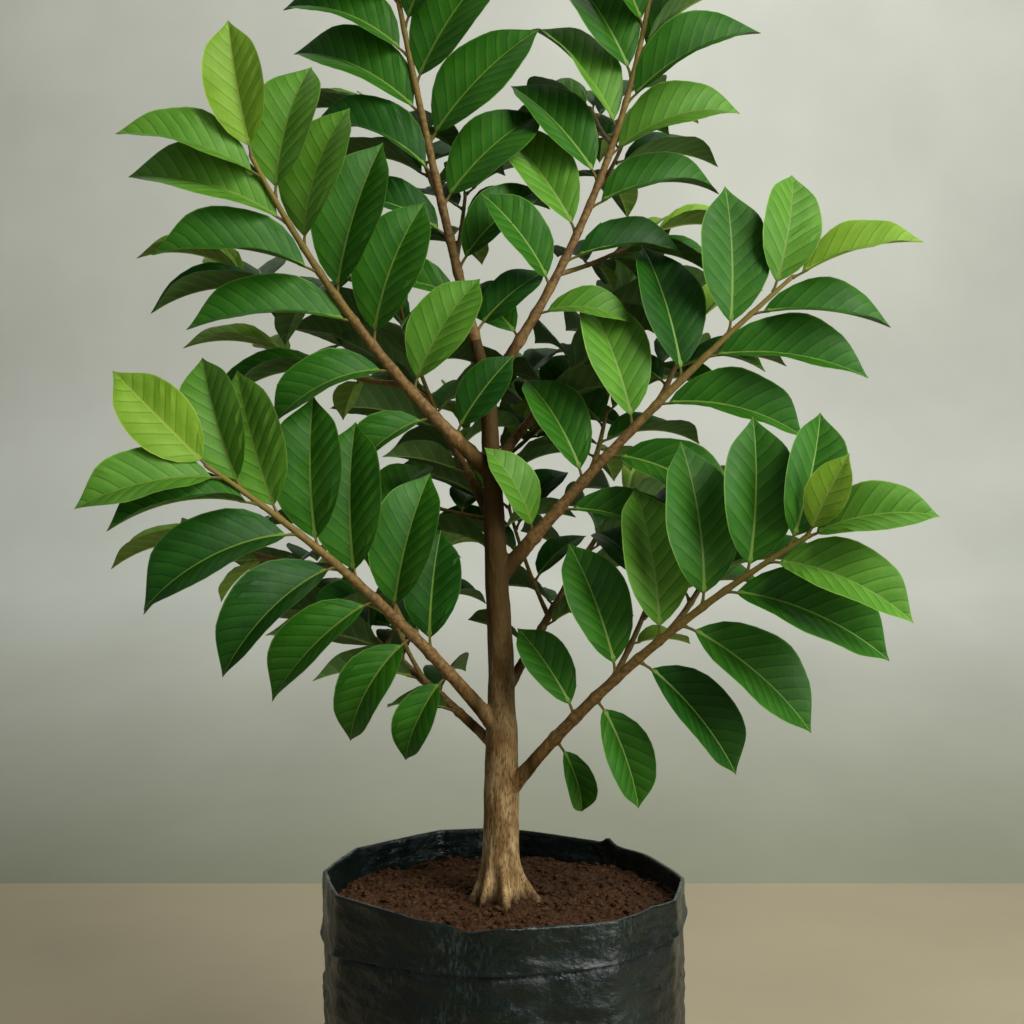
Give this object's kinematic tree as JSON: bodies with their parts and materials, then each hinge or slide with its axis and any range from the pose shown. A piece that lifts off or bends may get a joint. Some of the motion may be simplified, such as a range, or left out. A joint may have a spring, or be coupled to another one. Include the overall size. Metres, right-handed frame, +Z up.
{
  "type": "potted guava tree",
  "caption": "Young guava tree with a straight trunk, a forked crown of leafy boughs and large oval leaves, growing in a soil-filled black grow bag with a folded cuff.",
  "frame": {"origin": "centre of the grow bag's flat underside, on the floor", "axes": "+Z up along the trunk, +X towards the side of the two right-hand boughs, -Y towards the side that the front boughs' leaves face"},
  "size_m": [0.6575, 0.4487, 1.1599],
  "materials": {
    "bag": "black poly film with a soft sheen, creased, with a folded cuff",
    "soil": "moist crumbly brown potting soil",
    "bark": "tan-brown bark, fine upright ridges",
    "young_bark": "smooth brown young bark, turning green",
    "foliage": "satin green leaves with pale midribs and paler undersides, on green-brown twigs"
  },
  "bodies": {
    "root": {"grow_bag": "bag", "soil": "soil", "trunk": "bark", "leader_left": "bark", "leader_right": "bark", "bough_lower_right": "young_bark", "bough_upper_right": "young_bark", "bough_upper_left": "young_bark", "bough_lower_left": "young_bark", "bough_back_right_low": "young_bark", "bough_back_left_high": "young_bark", "bough_back_middle": "young_bark", "bough_back_right_high": "young_bark", "bough_back_left_low": "young_bark", "leaves_lower_right": "foliage", "leaves_upper_right": "foliage", "leaves_upper_left": "foliage", "leaves_lower_left": "foliage", "leaves_leader_left": "foliage", "leaves_leader_right": "foliage", "leaves_back_right_low": "foliage", "leaves_back_left_high": "foliage", "leaves_back_middle": "foliage", "leaves_back_right_high": "foliage", "leaves_back_left_low": "foliage"}
  },
  "joints": []
}
